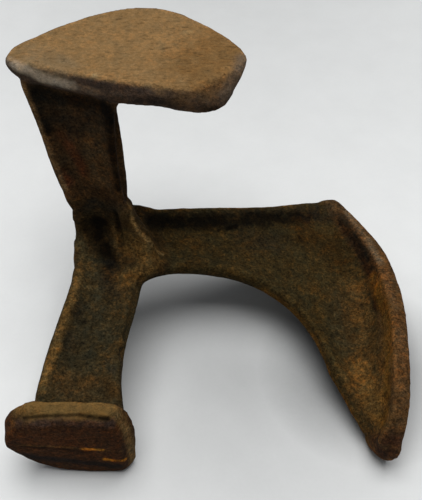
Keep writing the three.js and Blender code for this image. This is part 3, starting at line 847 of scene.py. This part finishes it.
colour = ground.times(0.87, 0.98, 1.06).blend(ground.times(1.14, 1.01, 0.80), hue)
colour = colour.scaled(1 + crust * (clouds.around(0, 0.7) + mottle.around(0, 1.9)
                                    + blotch.around(0, 2.2)))
colour = colour.blend(colour.times(2.4, 1.5, 0.7), rusty * crust * 0.3)
colour = colour.blend(colour.scaled(0.42), flecks * (worn * 0.35 + 0.3))
# Grime and painted shade in the hollows.
colour = colour.blend(GRIME_AND_SHADE, in_hollow * 0.45)
colour = colour.blend(PIT_BLACK, (1 - pits) * crust * 0.45)
colour = colour.blend(colour.times(1.6, 1.55, 1.5), on_edge * blotch)
colour = colour.scaled(1 + crust * grain.around(0, 4.5))
print("nodes with the colour:", len(iron.node_tree.nodes))

# %% Add the bump and the shader
BUMP_DEPTH = 1.3 * MM

height = grain * 0.6 + blotch * 1.0 + mottle * 0.8 + pits * 0.4
bump = start.node("Bump", {}, {"Strength": 0.9, "Distance": BUMP_DEPTH, "Height": height})
roughness = 0.70 + mottle * 0.25
shader = start.node("BsdfPrincipled", {}, {
    "Base Color": colour, "Roughness": roughness, "Normal": bump,
    "Specular IOR Level": 0.03})
iron_output = iron.node_tree.nodes.new("ShaderNodeOutputMaterial")
iron.node_tree.links.new(shader.socket, iron_output.inputs["Surface"])
skin.materials.clear()
skin.materials.append(iron)
print("nodes in the iron:", len(iron.node_tree.nodes))

# %% [markdown]
# ## Floor and light
#
# The anvil stands on a pale floor under one broad, soft light, which hangs overhead and a
# little behind. The small sole takes that light, and its shadow leaves the hub dark; painted
# shade in the patches makes it darker still. The floor has painted shadows under the arms and
# is darker far behind, and far away it fades into the pale background.

# %% Lay the floor
FLOOR_HALF = 4.0                     # metres
FLOOR_DROP = 0.2 * MM                # so that the feet don't share its plane

floor_mesh = bpy.data.meshes.new("floor")
floor_mesh.from_pydata([(-FLOOR_HALF, -FLOOR_HALF, 0), (FLOOR_HALF, -FLOOR_HALF, 0),
                        (FLOOR_HALF, FLOOR_HALF, 0), (-FLOOR_HALF, FLOOR_HALF, 0)],
                       [], [(0, 1, 2, 3)])
floor = bpy.data.objects.new("floor", floor_mesh)
floor.location.z = -FLOOR_DROP
bpy.context.collection.objects.link(floor)
print("the floor is", 2 * FLOOR_HALF, "m wide")

# %% Colour the floor
DAYLIGHT = (0.93, 0.96, 1.0, 1)
FADE_START, FADE_END = 0.45, 1.10    # metres from the middle

pale = bpy.data.materials.new("pale_floor")
pale.use_nodes = True
pale.node_tree.nodes.clear()
sheet = Wire(pale.node_tree)
spot = sheet.node("TexCoord", output="Object")


def looked_at(wire):
    """1 for what the camera sees, also by reflection or through glass, and 0 for light."""
    rays = [wire.node("LightPath", output=f"Is {kind} Ray")
            for kind in ("Camera", "Glossy", "Transmission")]
    return rays[0] + rays[1] + rays[2]


def dull_round(middle, radius):
    """1 at a place of the floor, falling to 0 at a radius around it."""
    away = sheet.node("VectorMath", {"operation": "SUBTRACT"}, {0: spot, 1: middle})
    return sheet.node("TexGradient", {"gradient_type": "SPHERICAL"},
                      {"Vector": away.times(1 / radius, 1 / radius, 1 / radius)})


# Painted shadows on the floor under the anvil and under the large sole, and a darker stretch far
# behind.
under_anvil = dull_round((0.02, -0.04, 0), 0.17) * 0.42
under_large_sole = dull_round((0.105, -0.030, 0), 0.075) * 0.7
far_behind = dull_round((0.0, 0.50, 0), 0.45) * 0.3
dull = under_anvil + under_large_sole + far_behind
smudge = spot.noise(28, 5, 0.6).around(0, 0.25) + spot.noise(420, 3, 0.7).around(0, 0.10)
white = sheet.node("VectorMath", {"operation": "SCALE"}, {
    0: (0.745, 0.755, 0.750), 3: 1 + smudge * 0.4 - dull})
paper = sheet.node("BsdfPrincipled", {}, {"Base Color": white, "Roughness": 0.7})
from_middle = sheet.node("VectorMath", {"operation": "LENGTH"}, {0: spot}, 1)
far_off = sheet.node("MapRange", {"interpolation_type": "SMOOTHSTEP"},
                     {"Value": from_middle, "From Min": FADE_START, "From Max": FADE_END})
haze = sheet.node("Emission", {}, {"Color": DAYLIGHT, "Strength": 0.80})
faded = sheet.node("MixShader", {}, {0: far_off * looked_at(sheet), 1: paper, 2: haze})
floor_output = pale.node_tree.nodes.new("ShaderNodeOutputMaterial")
pale.node_tree.links.new(faded.socket, floor_output.inputs["Surface"])
floor_mesh.materials.append(pale)
print("nodes in the floor:", len(pale.node_tree.nodes))

# %% Hang the lights
world = bpy.data.worlds.new("room")
world.use_nodes = True
world.node_tree.nodes.clear()
room = Wire(world.node_tree)
sky = room.node("Background", {}, {"Color": DAYLIGHT,
                                   "Strength": looked_at(room) * 0.68 + 0.12})
world_output = world.node_tree.nodes.new("ShaderNodeOutputWorld")
world.node_tree.links.new(sky.socket, world_output.inputs["Surface"])
bpy.context.scene.world = world


def soft_light(name, place, size, watts):
    """A square lamp that looks at the anvil."""
    lamp = bpy.data.lights.new(name, "AREA")
    lamp.shape = "SQUARE"
    lamp.size = size
    lamp.energy = watts
    made = bpy.data.objects.new(name, lamp)
    made.location = place
    made.rotation_euler = (-Vector(place)).to_track_quat("-Z", "Y").to_euler()
    bpy.context.collection.objects.link(made)


soft_light("window", (0.00, 0.21, 2.65), 2.0, 79)
bpy.context.scene.view_settings.view_transform = "Standard"
print("the lamp hangs 2.65 m up")

# %% Tie the skin to the model
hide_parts(*REGIONS)
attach(casting, "root")
